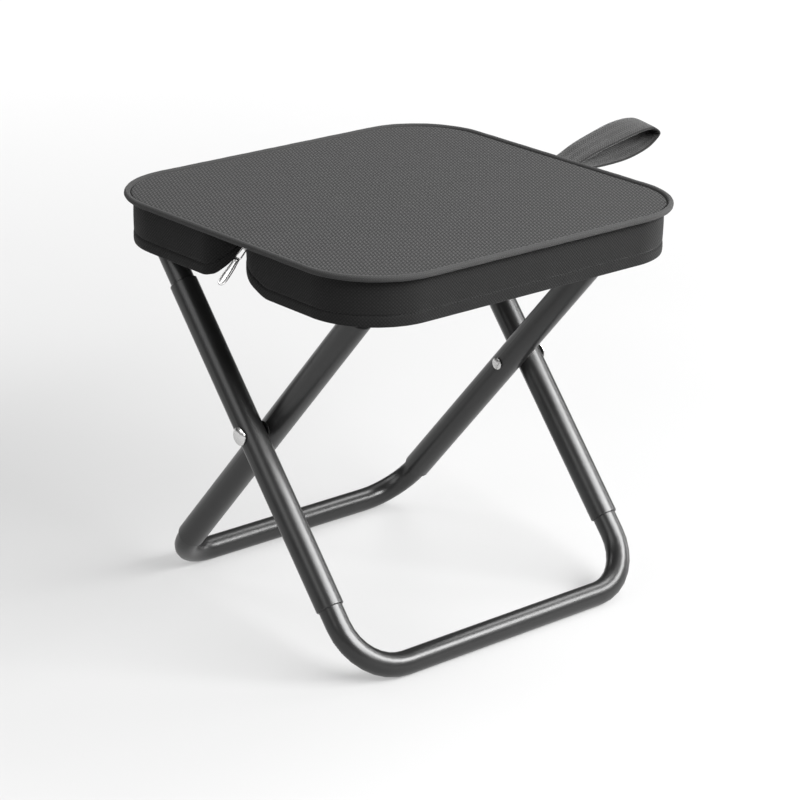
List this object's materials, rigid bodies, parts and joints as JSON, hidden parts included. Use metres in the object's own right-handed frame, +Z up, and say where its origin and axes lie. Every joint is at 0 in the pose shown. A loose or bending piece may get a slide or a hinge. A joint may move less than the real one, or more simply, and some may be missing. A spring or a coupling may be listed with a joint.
{
  "type": "folding camp stool",
  "caption": "Folding camp stool: crossed tube frames under a flat seat that folds in half into a zipped pouch, with a carrying strap.",
  "frame": {"origin": "on the floor, under the middle of the whole stool with its strap", "axes": "+X along the seat's fold line and the pivot axis towards the carrying strap, +Y towards the rear half of the seat, +Z up"},
  "size_m": [0.452, 0.324, 0.3416],
  "materials": {
    "powder_coat": "satin charcoal powder coat",
    "bright_steel": "bright plated rivet",
    "zipper_metal": "polished nickel plate",
    "cover_fabric": "dark grey plain weave polyester",
    "skirt_fabric": "dark grey plain weave polyester",
    "lining_fabric": "black plain weave lining",
    "piping": "dark grey bias-cut piping",
    "zipper_tape": "black zipper tape with nylon coil teeth",
    "webbing": "grey woven webbing",
    "board": "black polypropylene sheet",
    "nylon": "black moulded nylon"
  },
  "bodies": {
    "outer_foot": {"outer_foot_rail": "powder_coat"},
    "outer_frame": {"outer_leg_left": "powder_coat", "outer_leg_right": "powder_coat", "outer_top_rail": "powder_coat", "pivot_rivet_left": "bright_steel", "pivot_rivet_right": "bright_steel", "rivet_cap_left": "bright_steel", "rivet_cap_right": "bright_steel", "pivot_washer_left": "nylon", "pivot_washer_right": "nylon"},
    "inner_frame": {"inner_leg_left": "powder_coat", "inner_leg_right": "powder_coat", "inner_top_rail": "powder_coat", "rail_sleeve_front": "lining_fabric"},
    "inner_foot": {"inner_foot_rail": "powder_coat"},
    "seat_rear": {"seat_cover_rear": "cover_fabric", "stiffener_board_rear": "board", "lining_rear": "lining_fabric", "piping_rear": "piping", "skirt_rear": "skirt_fabric", "zipper_tape_rear": "zipper_tape", "rail_sleeve_rear": "lining_fabric"},
    "seat_spine": {"fold_binding": "webbing", "zipper_slider": "zipper_metal"},
    "seat_front": {"seat_cover_front": "cover_fabric", "stiffener_board_front": "board", "lining_front": "lining_fabric", "piping_front": "piping", "skirt_front": "skirt_fabric", "zipper_tape_front": "zipper_tape"},
    "zip_pull": {"zipper_pull": "zipper_metal"},
    "strap": {"carry_strap": "webbing"}
  },
  "joints": [
    {"name": "outer_foot_pull", "type": "slide", "parent": "outer_foot", "child": "outer_frame", "axis": [0, 0.6494, 0.7604], "range_m": [0, 0.035]},
    {"name": "scissor_fold", "type": "hinge", "parent": "outer_frame", "child": "inner_frame", "pos_m": [-0.05195, 0, 0.16462], "axis": [-1, 0, 0], "range_deg": [0, 74], "deforming": ["skirt_rear", "skirt_front", "zipper_tape_rear", "zipper_tape_front"]},
    {"name": "inner_foot_pull", "type": "slide", "parent": "inner_frame", "child": "inner_foot", "axis": [0, 0.6494, -0.7604], "range_m": [0, 0.035]},
    {"name": "seat_tilt", "type": "hinge", "parent": "outer_frame", "child": "seat_rear", "pos_m": [-0.05195, 0.12359, 0.30933], "axis": [-1, 0, 0], "range_deg": [0, 116.7]},
    {"name": "seat_crease_rear", "type": "hinge", "parent": "seat_rear", "child": "seat_spine", "pos_m": [-0.05195, 0, 0.3202], "axis": [1, 0, 0], "range_deg": [0, 79.7]},
    {"name": "seat_crease_front", "type": "hinge", "parent": "seat_spine", "child": "seat_front", "pos_m": [-0.05195, 0, 0.3202], "axis": [1, 0, 0], "range_deg": [0, 79.7]},
    {"name": "zip_pull_swing", "type": "hinge", "parent": "seat_spine", "child": "zip_pull", "pos_m": [-0.20125, 0, 0.3134], "axis": [0, 1, 0], "range_deg": [-44, 36]},
    {"name": "strap_swing", "type": "hinge", "parent": "seat_spine", "child": "strap", "pos_m": [0.12245, 0, 0.3206], "axis": [0, -1, 0], "range_deg": [-40, 50], "stiffness_Nm_per_rad": 0.2}
  ],
  "couplings": [
    {"joint": "seat_tilt", "follows": "scissor_fold", "ratio": 1.5757},
    {"joint": "seat_crease_rear", "follows": "scissor_fold", "ratio": 1.0757},
    {"joint": "seat_crease_front", "follows": "scissor_fold", "ratio": 1.0757}
  ]
}
